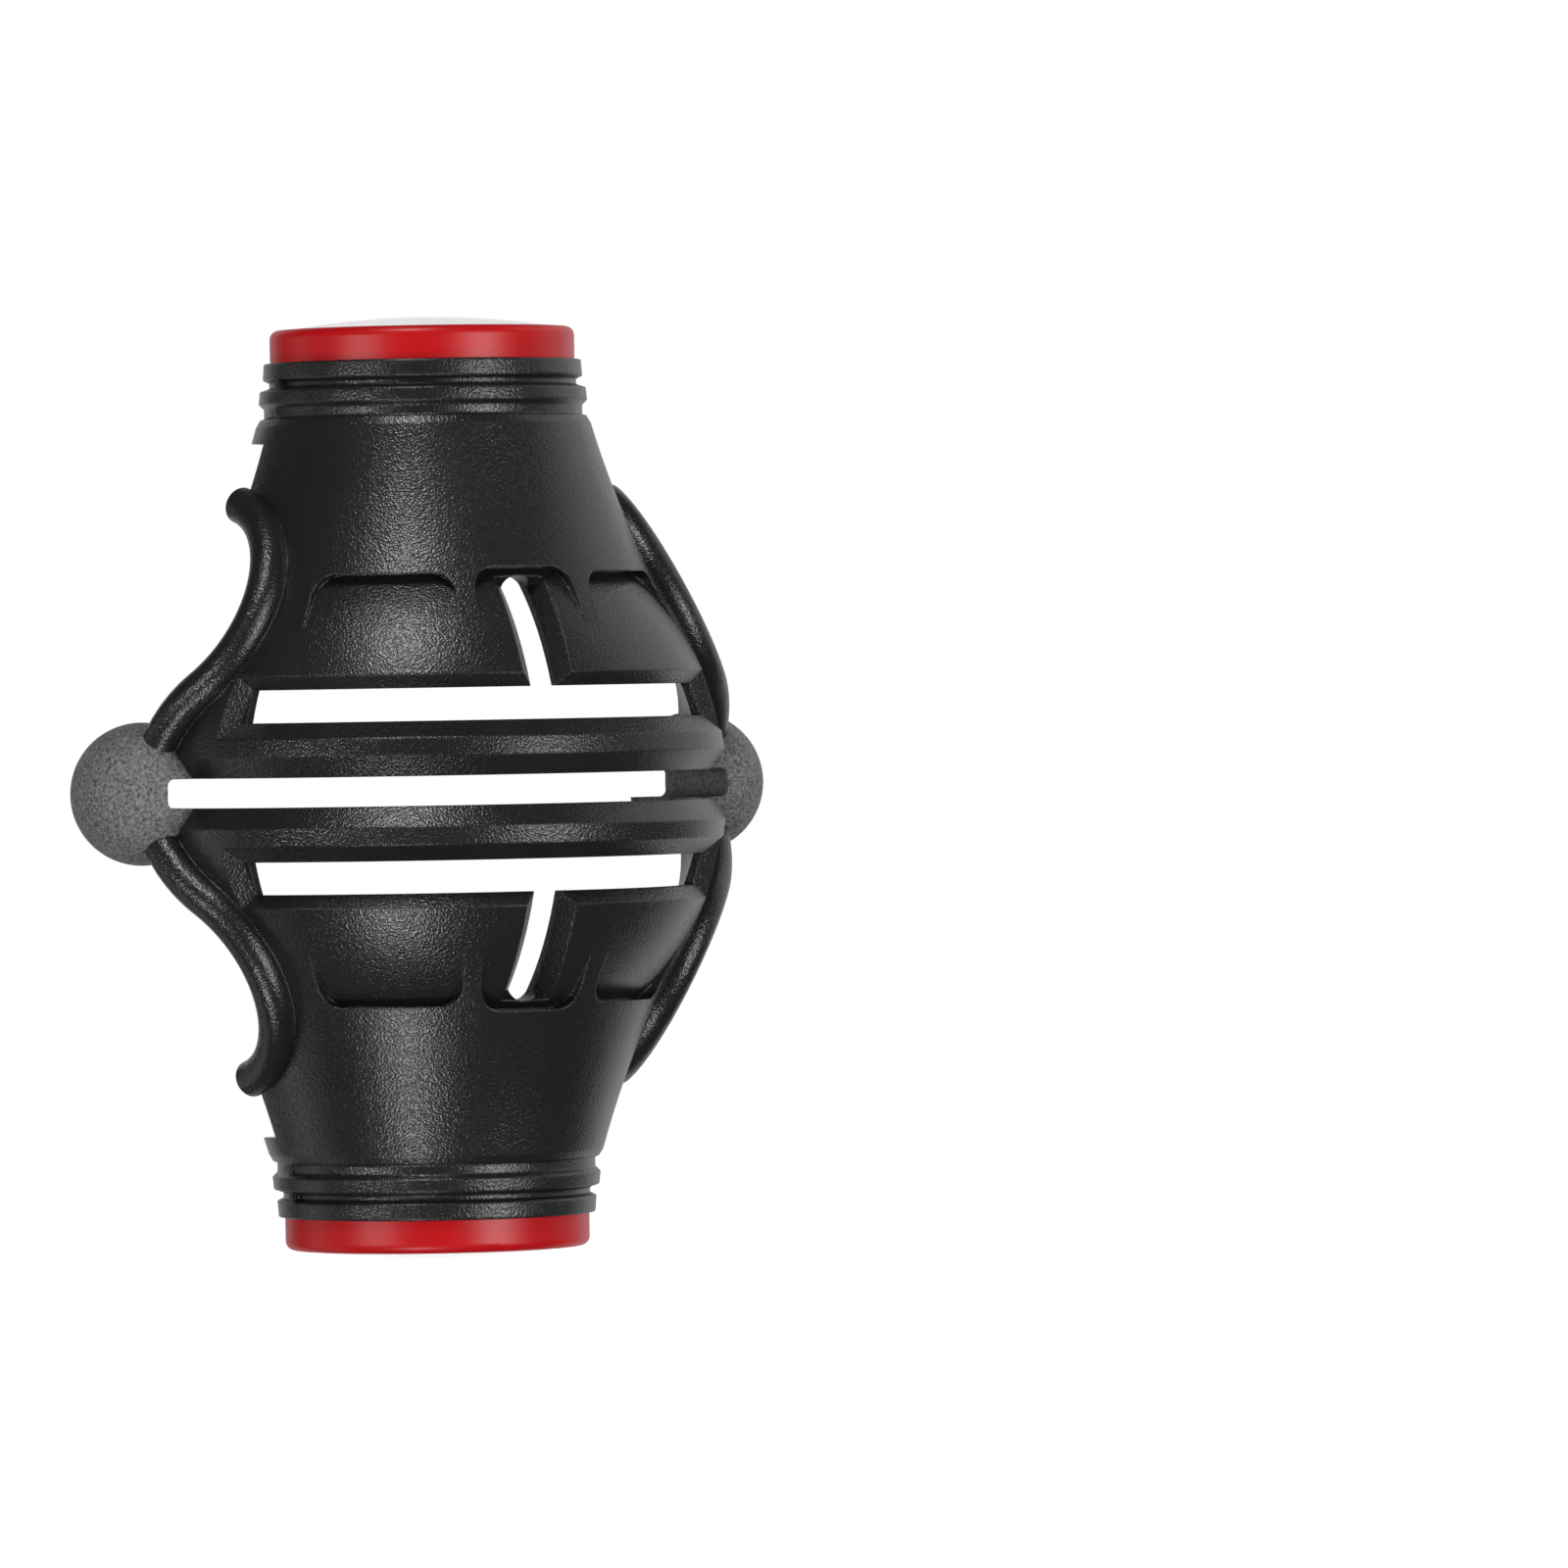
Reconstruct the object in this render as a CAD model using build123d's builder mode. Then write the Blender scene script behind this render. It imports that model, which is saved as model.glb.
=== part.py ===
from build123d import *
import os
from math import asin, cos, degrees, radians, sin, sqrt, tan

# Golf ball line marker: a half shell that clips onto a ball, with line slots to draw through
# and a magnetic ball marker on each end.
# Frame in millimetres: origin at the ball's centre, +Z up along the neck axis,
# the slotted front towards -Y, the ball leaves along +Y, the knobs stand at -X and +X.

# ball and shell
ball_diameter = 42.67
ball_clearance = 0.115      # all round
wall = 2.0
side_edge = 0.7             # the shell's sides end this far behind the ball's centre

# line slots: heights above and below the middle, and how wide their bevels are
slot_lip = 0.75             # wall left at a slot's sharp edge
middle_slot_half = 1.15
middle_slot_overrun = 0.3   # past the middle of a knob
slot_corner = 0.6
middle_bevel = 1.62
outer_slot_low = 5.4
outer_slot_high = 7.94
outer_slot_half_angle = 66.5
band_bevel = 1.25
upper_bevel = 1.06
end_bevel_angle = 2.7
cross_slot_half = 1.1
cross_slot_corner = 0.75
cross_slot_margin = 0.7     # below the top of its window
cross_bevel = 1.1

# funnels
funnel_foot_angle = 32.5    # elevation where a funnel leaves the ball shape
funnel_sag = 0.52           # inwards from a straight side, at half height
shoulder_step = 0.7         # outside the lip
shoulder_drop = 0.6
shoulder_round = 0.35

# necks, from the ends down
neck_length = 10.15         # above the ball shape
lip_overhang = 0.5          # outside the marker
lip_height = 1.3
upper_groove_depth = 0.4
upper_groove_height = 0.9
rib_step = 0.45             # outside the lip
rib_height = 1.0
rib_bevel = 0.4
lower_groove_step = 0.05
lower_groove_height = 0.8
groove_slope = 0.25
neck_draft = 0.1            # the lip and the rib widen downwards
neck_wall = 1.9
neck_round = 0.15           # every edge of the lip and the rib
seam_web = 0.5              # web across the grooves at the mould seam
ring_height = 6.4           # the neck closes all round down to here
ring_bevel = 1.2

# windows pressed into the funnels down to the ball shape
middle_window_half_angle = 13.5
window_rib_angle = 4.9      # funnel left between two windows
side_window_end_angle = 54.5
middle_window_rise = 4.6    # above the funnel's foot
side_window_rise = 4.2
window_corner = 1.6

# knobs
knob_radius = 5.6
knob_stand_out = 0.65       # the knob's middle, outside the shell
knob_y = 1.7
knob_skin = 1.7             # moulded over the body's core
knob_lining = 0.8           # the skin again, inside the middle slot

# side scoops: a round bite that runs straight into the knob, with a bead along its edge
scoop_radius = 8.7
scoop_y = 1.3
scoop_sink = 0.45           # below the top of the knob
scoop_run_angle = 40        # below the middle of the bite, where the straight run starts
scoop_end_y = -0.5          # inside the knob
bead_radius = 1.45
bead_stand_out = 0.7
bead_tip_angle = 81         # the bead ends here, at the mould seam
bead_middle_angle = 15

# magnets and ball markers
magnet_radius = 5.0
magnet_thickness = 2.0
magnet_clearance = 0.05
magnet_floor = 1.4
marker_radius = 12.0
marker_web = 1.0            # between the steel disc and the label
marker_edge_round = 0.7
seat_gap = 0.02             # between the neck's end and the marker
steel_radius = 7.0
steel_thickness = 0.8
steel_clearance = 0.05
label_thickness = 0.2
dome_margin = 1.4           # marker's rim round the dome
dome_clearance = 0.05
dome_recess = 0.6
dome_rise = 0.9             # above the marker's rim

os.makedirs("parts", exist_ok=True)

ball_seat_radius = ball_diameter / 2 + ball_clearance
shell_radius = ball_seat_radius + wall
slot_edge_radius = ball_seat_radius + slot_lip
reach = 2 * shell_radius    # past everything sideways
inner_reach = shell_radius / 2.5
funnel_foot = shell_radius * sin(radians(funnel_foot_angle))
middle_window_top = funnel_foot + middle_window_rise
side_window_top = funnel_foot + side_window_rise
cross_slot_top = middle_window_top - cross_slot_margin
lip_radius = marker_radius + lip_overhang
shoulder_radius = lip_radius + shoulder_step
rib_radius = lip_radius + rib_step
lower_groove_radius = lip_radius + lower_groove_step
upper_groove_radius = lip_radius - upper_groove_depth
bore_radius = lip_radius - neck_wall
neck_end = shell_radius + neck_length
groove_top = neck_end - lip_height
rib_top = groove_top - upper_groove_height
rib_bottom = rib_top - rib_height
bevel_bottom = rib_bottom - rib_bevel
groove_bottom = bevel_bottom - lower_groove_height
shoulder_height = groove_bottom - shoulder_drop
ring_bottom = neck_end - ring_height
knob_x = shell_radius + knob_stand_out
middle_slot_end = knob_x + middle_slot_overrun
scoop_z = knob_radius + scoop_radius - scoop_sink
marker_thickness = steel_thickness + marker_web + label_thickness + dome_recess
dome_radius = marker_radius - dome_margin


def across(radius, height):
    """Distance from the neck axis out to a ball of this radius, at a height."""
    return sqrt(radius**2 - height**2)


def outside_radius(height):
    """Outside radius of the body at a height: the ball shape, then the funnel's curve."""
    if height <= funnel_foot:
        return across(shell_radius, height)
    foot_radius = across(shell_radius, funnel_foot)
    share = (height - funnel_foot) / (shoulder_height - funnel_foot)
    straight = foot_radius + share * (shoulder_radius - foot_radius)
    return straight - 4 * funnel_sag * share * (1 - share)


def front_point(radius, angle):
    """Plan point at an angle counted from the front towards +X."""
    return Vector(radius * sin(radians(angle)), -radius * cos(radians(angle)))


def bevel_side(height, bevel):
    """A bevel in the (radius, height) plane: its sharp edge, and a point far outside."""
    edge = Vector(across(slot_edge_radius, height), height)
    surface = Vector(across(shell_radius, height + bevel), height + bevel)
    return [edge, edge + 3 * (surface - edge)]


def scoop_point(angle):
    """Point (y, z) on the round part of a scoop's edge, counted up from its middle height."""
    return (scoop_y - scoop_radius * cos(radians(angle)), scoop_z + scoop_radius * sin(radians(angle)))


def wall_point(y, z):
    """Point of the left bead's middle line over this place of the wall."""
    return (-across(outside_radius(z), y) - bead_stand_out, y, z)


# --- cutting shapes, for the upper half ---

# windows: plan sectors with soft upper corners
side_window_start_angle = middle_window_half_angle + window_rib_angle
window_spans = [
    (-middle_window_half_angle, middle_window_half_angle, middle_window_top),
    (side_window_start_angle, side_window_end_angle, side_window_top),
    (-side_window_end_angle, -side_window_start_angle, side_window_top),
]
window_tools = []
for start_angle, end_angle, top in window_spans:
    with BuildPart() as window:
        with BuildSketch(Plane.XY.offset(funnel_foot / 2)):
            Polygon(front_point(inner_reach, start_angle), front_point(reach, start_angle),
                    front_point(reach, end_angle), front_point(inner_reach, end_angle), align=None)
        extrude(amount=top - funnel_foot / 2)
        upper_edges = window.faces().sort_by(Axis.Z)[-1].edges()
        fillet(upper_edges.filter_by(lambda edge: edge.length > 0.75 * reach), window_corner)
    window_tools.append(window.part)

# middle slot: straight through the shell and the knobs, bevelled along the bands
with BuildPart() as middle_slot:
    with BuildSketch(Plane.XZ):
        RectangleRounded(2 * middle_slot_end, 2 * middle_slot_half, slot_corner)
    extrude(amount=reach, both=True)
with BuildPart() as middle_slot_bevel:
    with BuildSketch(Plane.XZ):
        Polygon(*bevel_side(-middle_slot_half, -middle_bevel),
                *reversed(bevel_side(middle_slot_half, middle_bevel)), align=None)
    revolve(axis=Axis.Z)

# outer slot: an arc round the front, bevelled along both edges and at both ends
with BuildPart() as outer_slot:
    with BuildSketch(Plane.XY.offset(outer_slot_low)):
        Polygon((0, 0), front_point(2 * reach, -outer_slot_half_angle),
                front_point(2 * reach, outer_slot_half_angle), align=None)
    extrude(amount=outer_slot_high - outer_slot_low)
with BuildPart() as outer_slot_bevel:
    with BuildSketch(Plane.XZ):
        Polygon(*bevel_side(outer_slot_low, -band_bevel),
                *reversed(bevel_side(outer_slot_high, upper_bevel)), align=None)
    revolve(axis=Axis.Z)
    flare = []
    for side in (-1, 1):
        edge = front_point(across(slot_edge_radius, outer_slot_high), side * outer_slot_half_angle)
        surface = front_point(across(shell_radius, outer_slot_high),
                              side * (outer_slot_half_angle + end_bevel_angle))
        flare.append([edge, edge + 6 * (surface - edge)])
    with BuildSketch(Plane.XY):
        Polygon((0, 0), *flare[0], (-2 * reach, -2 * reach), (2 * reach, -2 * reach),
                *reversed(flare[1]), align=None)
    extrude(amount=reach, mode=Mode.INTERSECT)

# cross slot: upright, from the outer slot up to its end, bevelled along both sides
with BuildPart() as cross_slot:
    slot_bottom = (outer_slot_low + outer_slot_high) / 2
    slot_length = cross_slot_top - slot_bottom
    with BuildSketch(Plane.XZ):
        with Locations((0, slot_bottom + slot_length / 2)):
            RectangleRounded(2 * cross_slot_half, slot_length, cross_slot_corner)
    extrude(amount=reach)
with BuildPart() as cross_slot_bevel:
    low_angle = degrees(asin(slot_bottom / shell_radius))
    top_angle = degrees(asin(cross_slot_top / shell_radius))
    outwards = Vector(0, -cos(radians(low_angle)), sin(radians(low_angle)))
    edge = Vector(cross_slot_half, slot_edge_radius)
    surface = Vector(cross_slot_half + cross_bevel, shell_radius)
    far = edge + 3 * (surface - edge)
    with BuildSketch(Plane((0, 0, 0), x_dir=(1, 0, 0), z_dir=Vector(1, 0, 0).cross(outwards))):
        Polygon((-edge.X, edge.Y), (-far.X, far.Y), (far.X, far.Y), (edge.X, edge.Y), align=None)
    revolve(axis=Axis((0, 0, 0), (-1, 0, 0)), revolution_arc=top_angle - low_angle)

# side scoop, right through
with BuildPart() as scoop:
    with BuildSketch(Plane.YZ):
        with BuildLine():
            run_start = scoop_point(-scoop_run_angle)
            run_end = (scoop_end_y, run_start[1] - (scoop_end_y - run_start[0])
                       / tan(radians(scoop_run_angle)))
            bite = ThreePointArc(run_start, scoop_point(0), scoop_point(90))
            Polyline(bite @ 1, (reach, (bite @ 1).Y), (reach, run_end[1]), run_end, run_start)
        make_face()
    extrude(amount=reach, both=True)

# bead along the left scoop's edge, just outside the wall
with BuildPart() as bead:
    with BuildLine():
        bend = ThreePointArc(*[wall_point(*scoop_point(angle)) for angle
                               in (-scoop_run_angle, bead_middle_angle, bead_tip_angle)])
        course = TangentArc(bend @ 0, wall_point(*run_end), tangent=-(bend % 0))
    with BuildSketch(Plane(course @ 1, z_dir=course % 1)):
        Circle(bead_radius)
    sweep()

# core of the left knob, with room for its skin all round and along the middle slot
with BuildPart() as core:
    with Locations((-knob_x, knob_y, 0)):
        Sphere(knob_radius - knob_skin, rotation=(0, 0, 180))
    with BuildSketch(Plane.XZ):
        RectangleRounded(2 * (middle_slot_end + knob_lining), 2 * (middle_slot_half + knob_lining),
                         slot_corner + knob_lining)
    extrude(amount=reach, both=True, mode=Mode.SUBTRACT)

# --- moulded body ---

with BuildPart() as clip_body:
    # funnel and ribbed neck, turned about the neck axis
    with BuildSketch(Plane.XZ):
        with BuildLine():
            foot = (across(shell_radius, funnel_foot), funnel_foot)
            waist_height = (funnel_foot + shoulder_height) / 2
            ThreePointArc(foot, (outside_radius(waist_height), waist_height),
                          (shoulder_radius, shoulder_height))
            Polyline((shoulder_radius, shoulder_height),
                     (shoulder_radius - shoulder_round, groove_bottom),
                     (lower_groove_radius, groove_bottom),
                     (lower_groove_radius, bevel_bottom),
                     (rib_radius, rib_bottom),
                     (rib_radius - neck_draft, rib_top),
                     (upper_groove_radius, rib_top + groove_slope),
                     (upper_groove_radius, groove_top - groove_slope),
                     (lip_radius + neck_draft, groove_top),
                     (lip_radius, neck_end),
                     (0, neck_end), (0, funnel_foot), foot)
        make_face()
        fillet(vertices().filter_by(lambda corner: corner.X > 0 and corner.Y >= groove_bottom),
               neck_round)
    revolve(axis=Axis.Z)
    with BuildSketch(Plane.XZ):
        with Locations((0, (groove_bottom + groove_top) / 2)):
            Rectangle(lip_radius + rib_radius, groove_top - groove_bottom)
    extrude(amount=seam_web / 2, both=True)
    for tool in window_tools:
        add(tool, mode=Mode.SUBTRACT)
    mirror(about=Plane.XY)
    # ball shell round it
    Sphere(shell_radius)
    Sphere(ball_seat_radius, mode=Mode.SUBTRACT)
    Cylinder(bore_radius, 2 * (neck_end - magnet_thickness - magnet_floor), mode=Mode.SUBTRACT)
    # from here on the left half only: the open back, with a bevel under each closed ring,
    Box(reach, 2 * reach, 2 * reach, align=(Align.MAX, Align.CENTER, Align.CENTER),
        mode=Mode.INTERSECT)
    with BuildSketch(Plane.YZ):
        Polygon((side_edge, -ring_bottom), (side_edge, ring_bottom),
                (reach, ring_bottom + ring_bevel), (reach, -ring_bottom - ring_bevel), align=None)
    extrude(amount=reach, both=True, mode=Mode.SUBTRACT)
    # then the slots, the scoops and beads, and the core of the knob
    for tool in (outer_slot, outer_slot_bevel, cross_slot, cross_slot_bevel, scoop):
        add(tool.part, mode=Mode.SUBTRACT)
        add(tool.part.mirror(Plane.XY), mode=Mode.SUBTRACT)
    add(middle_slot_bevel.part, mode=Mode.SUBTRACT)
    add(bead.part)
    add(bead.part.mirror(Plane.XY))
    add(core.part)
    Sphere(ball_seat_radius, mode=Mode.SUBTRACT)
    add(middle_slot.part, mode=Mode.SUBTRACT)
    for height in (-neck_end, neck_end - magnet_thickness):
        with BuildSketch(Plane.XY.offset(height)):
            Circle(magnet_radius + magnet_clearance)
        extrude(amount=magnet_thickness, mode=Mode.SUBTRACT)
    mirror(about=Plane.YZ)

clip_body.part.label = "clip_body"
export_step(clip_body.part, "parts/clip_body.step")

# --- knobs: soft balls moulded over the cores ---

with BuildPart() as left_knob:
    with Locations((-knob_x, knob_y, 0)):
        Sphere(knob_radius, rotation=(0, 0, 180))
    Sphere(ball_seat_radius, mode=Mode.SUBTRACT)
    add(middle_slot.part, mode=Mode.SUBTRACT)
    add(clip_body.part, mode=Mode.SUBTRACT)
with BuildPart() as right_knob:
    add(left_knob.part.mirror(Plane.YZ))
for name, knob in (("left_knob", left_knob), ("right_knob", right_knob)):
    knob.part.label = name
    export_step(knob.part, f"parts/{name}.step")

# --- magnets and ball markers, one set on each end ---

for end, up in (("upper", 1), ("lower", -1)):
    outwards = Plane((0, 0, up * neck_end), x_dir=(1, 0, 0), z_dir=(0, 0, up))
    seat = outwards.offset(seat_gap)
    rim = seat.offset(marker_thickness)

    with BuildPart() as magnet:
        with BuildSketch(outwards.offset(-magnet_thickness)):
            Circle(magnet_radius)
        extrude(amount=magnet_thickness)
    with BuildPart() as marker_body:
        with BuildSketch(seat):
            Circle(marker_radius)
        extrude(amount=marker_thickness)
        top_face = marker_body.faces().sort_by(Axis(seat.origin, seat.z_dir))[-1]
        fillet(top_face.edges(), marker_edge_round)
        with BuildSketch(rim):
            Circle(dome_radius + dome_clearance)
        extrude(amount=-dome_recess - label_thickness, mode=Mode.SUBTRACT)
        with BuildSketch(seat):
            Circle(steel_radius + steel_clearance)
        extrude(amount=steel_thickness, mode=Mode.SUBTRACT)
    with BuildPart() as steel_disc:
        with BuildSketch(seat):
            Circle(steel_radius)
        extrude(amount=steel_thickness)
    with BuildPart() as label_disc:
        with BuildSketch(rim.offset(-dome_recess - label_thickness)):
            Circle(dome_radius)
        extrude(amount=label_thickness)
    with BuildPart() as dome:
        with BuildSketch(Plane(seat.origin, x_dir=(1, 0, 0), z_dir=(0, -up, 0))):
            with BuildLine():
                low = marker_thickness - dome_recess
                crown = TangentArc((0, marker_thickness + dome_rise),
                                   (dome_radius, marker_thickness), tangent=(1, 0))
                Polyline(crown @ 1, (dome_radius, low), (0, low), crown @ 0)
            make_face()
        revolve(axis=Axis.Z)
    for name, piece in (("magnet", magnet), ("marker_body", marker_body), ("steel_disc", steel_disc),
                        ("label_disc", label_disc), ("dome", dome)):
        piece.part.label = f"{end}_{name}"
        export_step(piece.part, f"parts/{end}_{name}.step")
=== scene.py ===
import math
import bpy
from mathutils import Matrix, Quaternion, Vector


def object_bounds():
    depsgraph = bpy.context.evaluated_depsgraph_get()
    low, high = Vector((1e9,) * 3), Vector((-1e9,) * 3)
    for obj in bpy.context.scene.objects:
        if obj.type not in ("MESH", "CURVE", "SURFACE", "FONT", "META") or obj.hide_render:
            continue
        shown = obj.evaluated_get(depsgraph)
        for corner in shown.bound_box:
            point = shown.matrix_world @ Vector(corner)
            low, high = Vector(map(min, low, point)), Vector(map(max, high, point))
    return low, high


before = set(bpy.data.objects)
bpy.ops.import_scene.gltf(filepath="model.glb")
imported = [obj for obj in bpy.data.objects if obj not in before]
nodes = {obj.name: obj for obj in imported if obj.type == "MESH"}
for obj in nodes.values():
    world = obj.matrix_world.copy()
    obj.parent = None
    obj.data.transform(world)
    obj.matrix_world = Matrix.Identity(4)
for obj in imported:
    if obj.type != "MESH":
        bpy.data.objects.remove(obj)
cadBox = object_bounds()
bpy.ops.object.select_all(action="DESELECT")
print("frame loaded:", len(nodes), "nodes")


def addNode(tree, kind, **settings):
    node = tree.nodes.new(kind)
    for name, value in settings.items():
        if hasattr(node, name):
            setattr(node, name, value)
        else:
            node.inputs[name].default_value = value
    return node


def newMaterial(name):
    made = bpy.data.materials.new(name)
    made.use_nodes = True
    return made, made.node_tree, made.node_tree.nodes["Principled BSDF"]


def objectCoordinates(tree):
    return tree.nodes.new("ShaderNodeTexCoord").outputs["Object"]


def addNoise(tree, place, scale, detail, **settings):
    noise = addNode(tree, "ShaderNodeTexNoise", Scale=scale, Detail=detail, **settings)
    tree.links.new(place, noise.inputs["Vector"])
    return noise.outputs


def rangeOf(tree, value, low, high, fromLow=0.0, fromHigh=1.0):
    spread = addNode(tree, "ShaderNodeMapRange")
    spread.inputs["From Min"].default_value = fromLow
    spread.inputs["From Max"].default_value = fromHigh
    spread.inputs["To Min"].default_value = low
    spread.inputs["To Max"].default_value = high
    tree.links.new(value, spread.inputs["Value"])
    return spread.outputs["Result"]


def colourBetween(tree, shader, factor, dark, pale):
    shade = addNode(tree, "ShaderNodeMix", data_type="RGBA")
    shade.inputs["A"].default_value = (*dark, 1)
    shade.inputs["B"].default_value = (*pale, 1)
    tree.links.new(factor, shade.inputs["Factor"])
    tree.links.new(shade.outputs["Result"], shader.inputs["Base Color"])


def roughnessBetween(tree, shader, factor, smooth, rough):
    tree.links.new(rangeOf(tree, factor, smooth, rough), shader.inputs["Roughness"])


def addBump(tree, shader, height, strength, depth):
    bump = addNode(tree, "ShaderNodeBump", Strength=strength, Distance=depth)
    tree.links.new(height, bump.inputs["Height"])
    tree.links.new(bump.outputs["Normal"], shader.inputs["Normal"])
    return bump


def scaled(colour, share):
    return [value * share for value in colour]


viewSettings = {
    "azimuth": -25.5,      # degrees round from the front, towards the left knob
    "elevation": 0.55,
    "roll": 1.0,           # the object leans this much to the left
    "distance": 1.005,
    "lens": 292.5,
    "sensor": 36.0,
    "aimRight": 0.02794,   # the object stands left of the picture's middle
    "aimUp": 0.00031,
    "clip": (0.01, 20),
}


def makeCamera(view):
    azimuth, elevation = math.radians(view["azimuth"]), math.radians(view["elevation"])
    back = Vector((math.sin(azimuth) * math.cos(elevation),
                   -math.cos(azimuth) * math.cos(elevation), math.sin(elevation)))
    turned = (-back).to_track_quat("-Z", "Y") @ Quaternion((0, 0, 1), -math.radians(view["roll"]))
    aim = turned @ Vector((view["aimRight"], view["aimUp"], 0))
    place = back * view["distance"]
    bpy.ops.object.camera_add(location=place)
    camera = bpy.context.object
    camera.name = "camera"
    camera.rotation_mode = "QUATERNION"
    look = (aim - place).to_track_quat("-Z", "Y")
    camera.rotation_quaternion = look @ Quaternion((0, 0, 1), -math.radians(view["roll"]))
    camera.data.lens = view["lens"]
    camera.data.sensor_width = view["sensor"]
    camera.data.clip_start, camera.data.clip_end = view["clip"]
    bpy.context.scene.camera = camera
    print("camera at", [round(value, 4) for value in place])


makeCamera(viewSettings)


lightSettings = {
    "worldShown": 1.0,      # the white that the backdrop shows
    "worldLight": 0.07,     # the light that it gives
}
# each softbox: azimuth, elevation, distance, width, height, watts
softboxes = {
    "upperKey": (-40.0, 58.0, 0.60, 0.09, 0.20, 1.65),
    "lowerKey": (-43.0, -46.0, 0.60, 0.10, 0.20, 1.25),
    "slotFill": (-72.0, 0.0, 0.60, 0.25, 0.03, 1.0),      # low and thin, to reach the slot's end
    "rightFill": (20.0, -1.0, 0.60, 0.26, 0.34, 2.3),
    "sideFill": (85.0, 25.0, 0.80, 0.50, 0.90, 1.1),
    "rightCard": (112.0, 0.0, 0.80, 0.40, 1.20, 0.8),
    "leftCard": (-128.0, -20.0, 0.80, 0.30, 0.90, 0.8),
    "backdrop": (154.5, -6.0, 0.80, 1.20, 1.40, 3.0),
}
floorSettings = {
    "size": 1.0,
    "gap": 0.0135,         # clear of the lower marker, which lifts off downwards by 12 mm
    "colour": (0.93, 0.93, 0.93),
    "glow": 0.9,
}


def makeWorld(light):
    world = bpy.data.worlds.new("studio")
    bpy.context.scene.world = world
    world.use_nodes = True
    tree = world.node_tree
    background = tree.nodes["Background"]
    background.inputs["Color"].default_value = (1, 1, 1, 1)
    ray = addNode(tree, "ShaderNodeLightPath")
    strength = addNode(tree, "ShaderNodeMapRange")
    strength.inputs["To Min"].default_value = light["worldLight"]
    strength.inputs["To Max"].default_value = light["worldShown"]
    tree.links.new(ray.outputs["Is Camera Ray"], strength.inputs["Value"])
    tree.links.new(strength.outputs["Result"], background.inputs["Strength"])
    bpy.context.scene.view_settings.view_transform = "Standard"


def addLamp(name, azimuth, elevation, distance, width, height, watts):
    azimuth, elevation = math.radians(azimuth), math.radians(elevation)
    away = Vector((math.sin(azimuth) * math.cos(elevation),
                   -math.cos(azimuth) * math.cos(elevation), math.sin(elevation)))
    bpy.ops.object.light_add(type="AREA", location=away * distance)
    lamp = bpy.context.object
    lamp.name = name
    lamp.rotation_mode = "QUATERNION"
    lamp.rotation_quaternion = (-away).to_track_quat("-Z", "Y")
    lamp.data.shape = "RECTANGLE"
    lamp.data.size = width
    lamp.data.size_y = height
    lamp.data.energy = watts


def makeFloor(floor, foot):
    bpy.ops.mesh.primitive_plane_add(size=floor["size"], location=(0, 0, foot - floor["gap"]))
    plane = bpy.context.object
    plane.name = "floor"
    material, tree, shader = newMaterial("palePaper")
    shader.inputs["Base Color"].default_value = (*floor["colour"], 1)
    shader.inputs["Roughness"].default_value = 1
    shader.inputs["Specular IOR Level"].default_value = 0
    shader.inputs["Emission Color"].default_value = (1, 1, 1, 1)
    shader.inputs["Emission Strength"].default_value = floor["glow"]
    plane.data.materials.append(material)
    plane.visible_glossy = False      # no floor in the gloss of the object's underside
    plane.visible_diffuse = False
    plane.visible_transmission = False
    plane.visible_shadow = False      # the low lamps shine through it


makeWorld(lightSettings)
for lampName, lampPlace in softboxes.items():
    addLamp(lampName, *lampPlace)
makeFloor(floorSettings, cadBox[0].z)
print("light and floor made")


plasticSettings = {
    "colour": (0.0105, 0.0105, 0.011),
    "tint": (0.85, 1.2),         # how far the colour drifts
    "drift": (90.0, 3.0),        # patches per metre, and their detail
    "roughness": (0.24, 0.33),
    "specular": 0.5,
    "grainSize": 6200.0,         # grains per metre
    "grainDepth": 0.000043,      # metres
    "grainStrength": 0.9,
    "wander": (0.35, 2.0),       # scale beside the grain's, and detail
    "wanderReach": 0.00025,      # metres
    "edgeRound": 0.00024,
    "edgeSamples": 4,
}


def makeBodyPlastic(plastic):
    material, tree, shader = newMaterial("bodyPlastic")
    shader.inputs["Specular IOR Level"].default_value = plastic["specular"]
    place = objectCoordinates(tree)
    # leather grain from the moulding tool: cells pushed about by a slower noise
    wanderShare, wanderDetail = plastic["wander"]
    wander = addNoise(tree, place, plastic["grainSize"] * wanderShare, wanderDetail)
    pushed = addNode(tree, "ShaderNodeVectorMath", operation="MULTIPLY_ADD")
    pushed.inputs[1].default_value = [plastic["wanderReach"]] * 3
    tree.links.new(wander["Color"], pushed.inputs[0])
    tree.links.new(place, pushed.inputs[2])
    grain = addNode(tree, "ShaderNodeTexVoronoi", feature="SMOOTH_F1", Scale=plastic["grainSize"])
    tree.links.new(pushed.outputs["Vector"], grain.inputs["Vector"])
    bump = addBump(tree, shader, grain.outputs["Distance"],
                   plastic["grainStrength"], plastic["grainDepth"])
    edges = addNode(tree, "ShaderNodeBevel", samples=plastic["edgeSamples"],
                    Radius=plastic["edgeRound"])
    tree.links.new(edges.outputs["Normal"], bump.inputs["Normal"])
    # colour and gloss drift slowly over the surface
    drift = addNoise(tree, place, *plastic["drift"])["Fac"]
    colourBetween(tree, shader, drift, *[scaled(plastic["colour"], share) for share in plastic["tint"]])
    roughnessBetween(tree, shader, drift, *plastic["roughness"])
    return material


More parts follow.
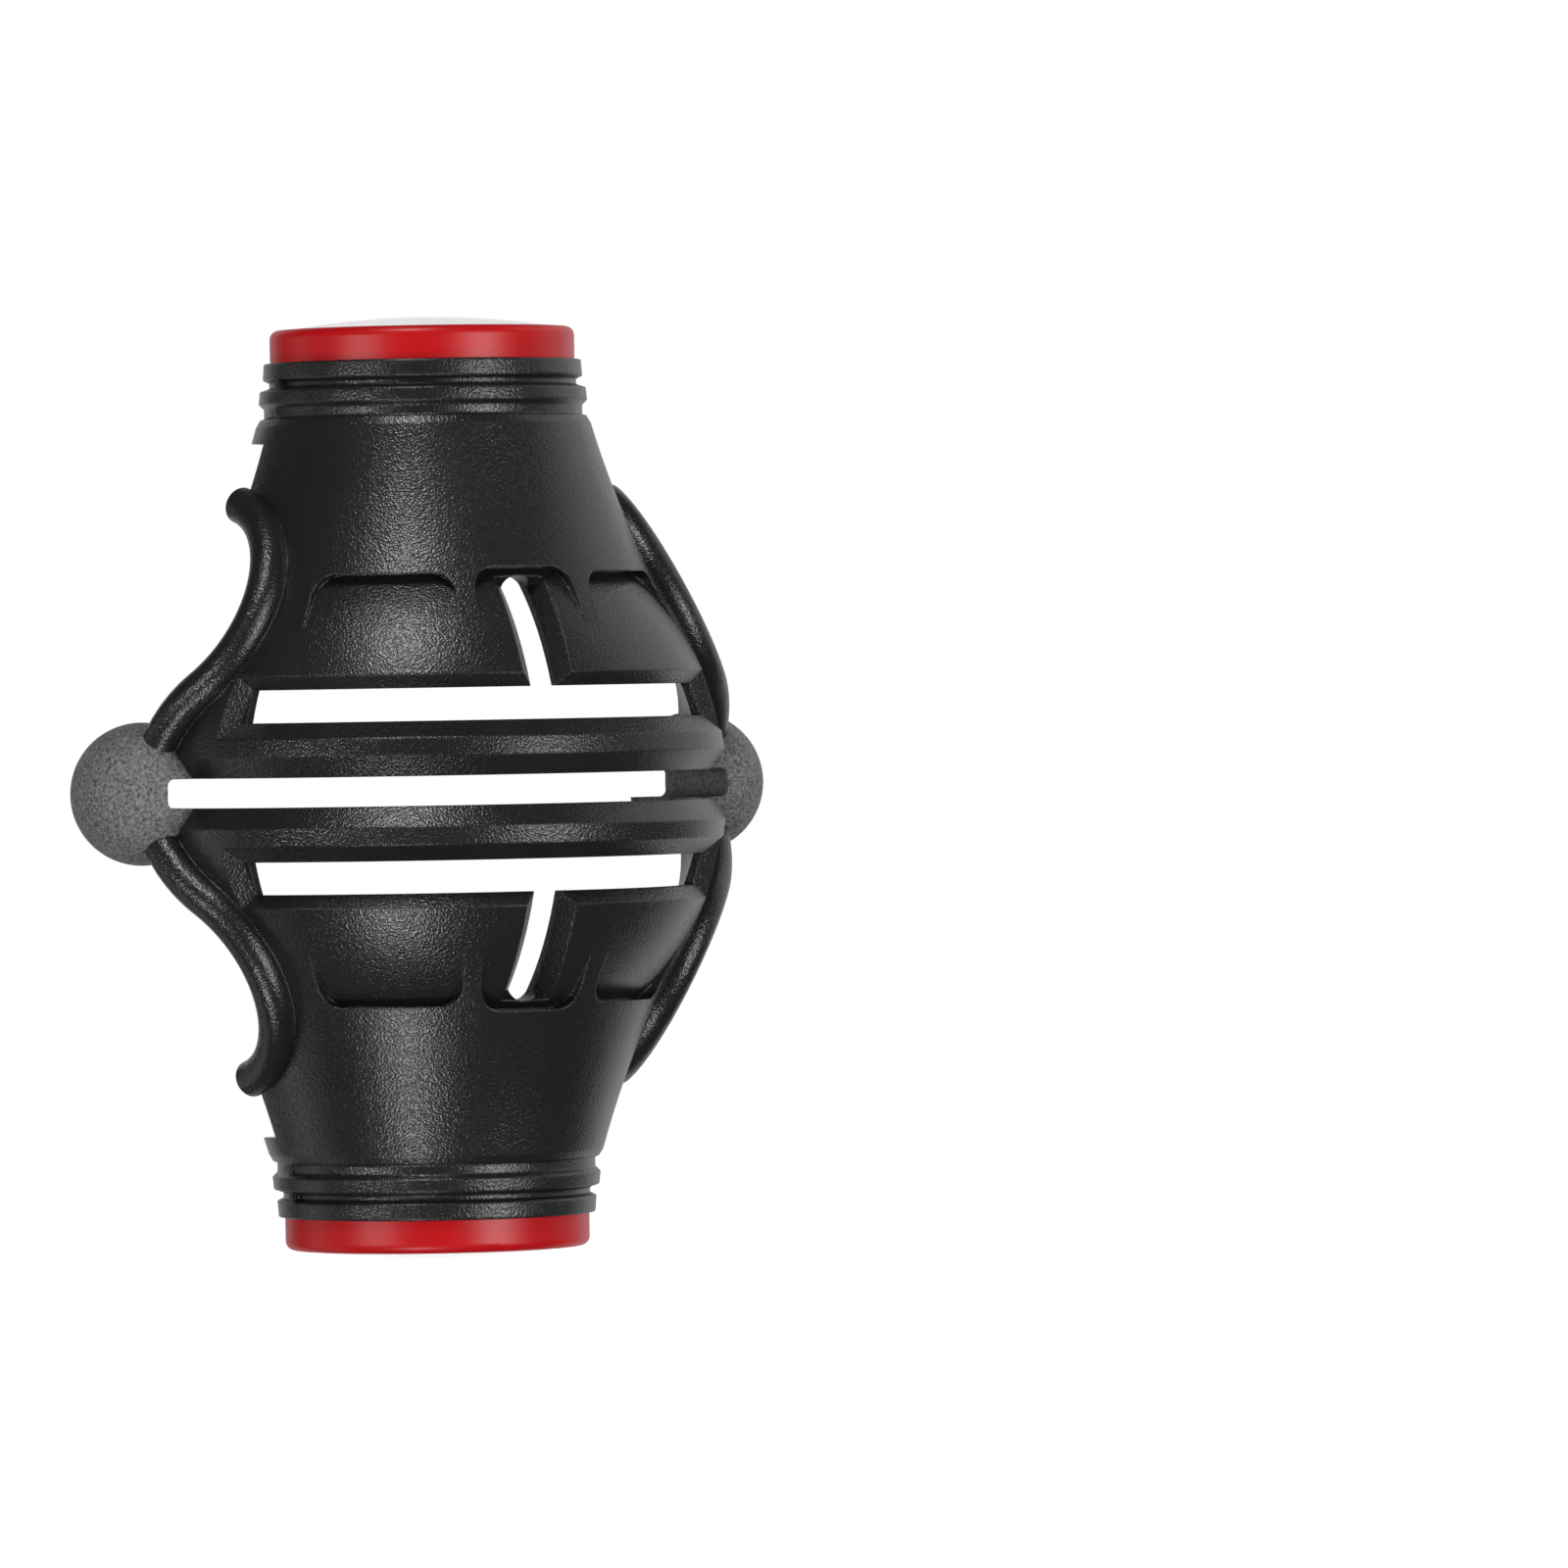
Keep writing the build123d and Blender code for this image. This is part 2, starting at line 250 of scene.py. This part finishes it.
knobSettings = {
    "darkGrain": (0.030, 0.030, 0.030),
    "paleGrain": (0.225, 0.225, 0.225),
    "grainSpread": (0.34, 0.66),   # the part of the noise that runs from dark to pale
    "roughness": (0.54, 0.70),
    "grainSize": 4000.0,
    "grainDetail": 3.0,
    "grainMix": 0.65,
    "grainDepth": 0.00008,
}


def makeKnobPlastic(knob):
    material, tree, shader = newMaterial("knobPlastic")
    sand = addNoise(tree, objectCoordinates(tree), knob["grainSize"], knob["grainDetail"],
                    Roughness=knob["grainMix"])["Fac"]
    pitted = rangeOf(tree, sand, 0, 1, *knob["grainSpread"])
    colourBetween(tree, shader, pitted, knob["darkGrain"], knob["paleGrain"])
    roughnessBetween(tree, shader, sand, *knob["roughness"])
    addBump(tree, shader, sand, 1.0, knob["grainDepth"])
    return material


markerSettings = {
    "colour": (0.475, 0.003, 0.006),
    "tint": (0.9, 1.08),
    "cloud": (220.0, 4.0),
    "roughness": (0.32, 0.42),
    "specular": 0.32,
    "satin": (7000.0, 2.0),
    "satinStrength": 0.35,
    "satinDepth": 0.000008,
}


def makeMarkerRed(marker):
    material, tree, shader = newMaterial("markerRed")
    shader.inputs["Specular IOR Level"].default_value = marker["specular"]
    place = objectCoordinates(tree)
    cloud = addNoise(tree, place, *marker["cloud"])["Fac"]
    colourBetween(tree, shader, cloud, *[scaled(marker["colour"], share) for share in marker["tint"]])
    roughnessBetween(tree, shader, cloud, *marker["roughness"])
    satin = addNoise(tree, place, *marker["satin"])["Fac"]
    addBump(tree, shader, satin, marker["satinStrength"], marker["satinDepth"])
    return material


resinSettings = {
    "tint": (0.78, 0.79, 0.80),
    "tintShown": 0.22,       # share of the tint at each skin, so that the label shows through
    "roughness": (0.05, 0.10),
    "refraction": 1.5,
    "ripple": (150.0, 1.0),
    "rippleStrength": 0.15,
    "rippleDepth": 0.00006,
}


def makeClearResin(resin):
    material, tree, shader = newMaterial("clearResin")
    shader.inputs["Base Color"].default_value = (*resin["tint"], 1)
    shader.inputs["Alpha"].default_value = resin["tintShown"]
    shader.inputs["IOR"].default_value = resin["refraction"]
    ripple = addNoise(tree, objectCoordinates(tree), *resin["ripple"])["Fac"]
    roughnessBetween(tree, shader, ripple, *resin["roughness"])
    addBump(tree, shader, ripple, resin["rippleStrength"], resin["rippleDepth"])
    return material


labelSettings = {
    "darkFibre": (0.66, 0.67, 0.69),
    "paleFibre": (0.80, 0.81, 0.82),
    "fibre": (1800.0, 5.0),
    "roughness": (0.5, 0.7),
    "fibreStrength": 0.3,
    "fibreDepth": 0.00001,
}


def makeLabelPaper(label):
    material, tree, shader = newMaterial("labelPaper")
    fibre = addNoise(tree, objectCoordinates(tree), *label["fibre"])["Fac"]
    colourBetween(tree, shader, fibre, label["darkFibre"], label["paleFibre"])
    roughnessBetween(tree, shader, fibre, *label["roughness"])
    addBump(tree, shader, fibre, label["fibreStrength"], label["fibreDepth"])
    return material


steelSettings = {
    "colour": (0.55, 0.56, 0.58),
    "wornShare": 0.85,       # brightness of the worn patches
    "wear": (900.0, 4.0),
    "roughness": (0.24, 0.38),
    "wearStrength": 0.25,
    "wearDepth": 0.00001,
}
platingSettings = {
    **steelSettings,
    "colour": (0.62, 0.61, 0.60),
    "wear": (600.0, 4.0),
    "roughness": (0.16, 0.30),
}


def makeMetal(name, metal):
    material, tree, shader = newMaterial(name)
    shader.inputs["Metallic"].default_value = 1
    wear = addNoise(tree, objectCoordinates(tree), *metal["wear"])["Fac"]
    colourBetween(tree, shader, wear, scaled(metal["colour"], metal["wornShare"]), metal["colour"])
    roughnessBetween(tree, shader, wear, *metal["roughness"])
    addBump(tree, shader, wear, metal["wearStrength"], metal["wearDepth"])
    return material


finishes = {
    "body_plastic": makeBodyPlastic(plasticSettings),
    "knob_plastic": makeKnobPlastic(knobSettings),
    "marker_red": makeMarkerRed(markerSettings),
    "clear_resin": makeClearResin(resinSettings),
    "label": makeLabelPaper(labelSettings),
    "steel": makeMetal("steel", steelSettings),
    "magnet_plating": makeMetal("magnetPlating", platingSettings),
}
finishOf = {
    "clip_body": "body_plastic", "left_knob": "knob_plastic", "right_knob": "knob_plastic",
    "upper_magnet": "magnet_plating", "lower_magnet": "magnet_plating",
}
for side in ("upper", "lower"):
    finishOf[side + "_marker_body"] = "marker_red"
    finishOf[side + "_steel_disc"] = "steel"
    finishOf[side + "_label_disc"] = "label"
    finishOf[side + "_dome"] = "clear_resin"
print("materials made")

for name, node in nodes.items():
    node.data.materials.clear()
    node.data.materials.append(finishes[finishOf[name]])
print("finishes set")
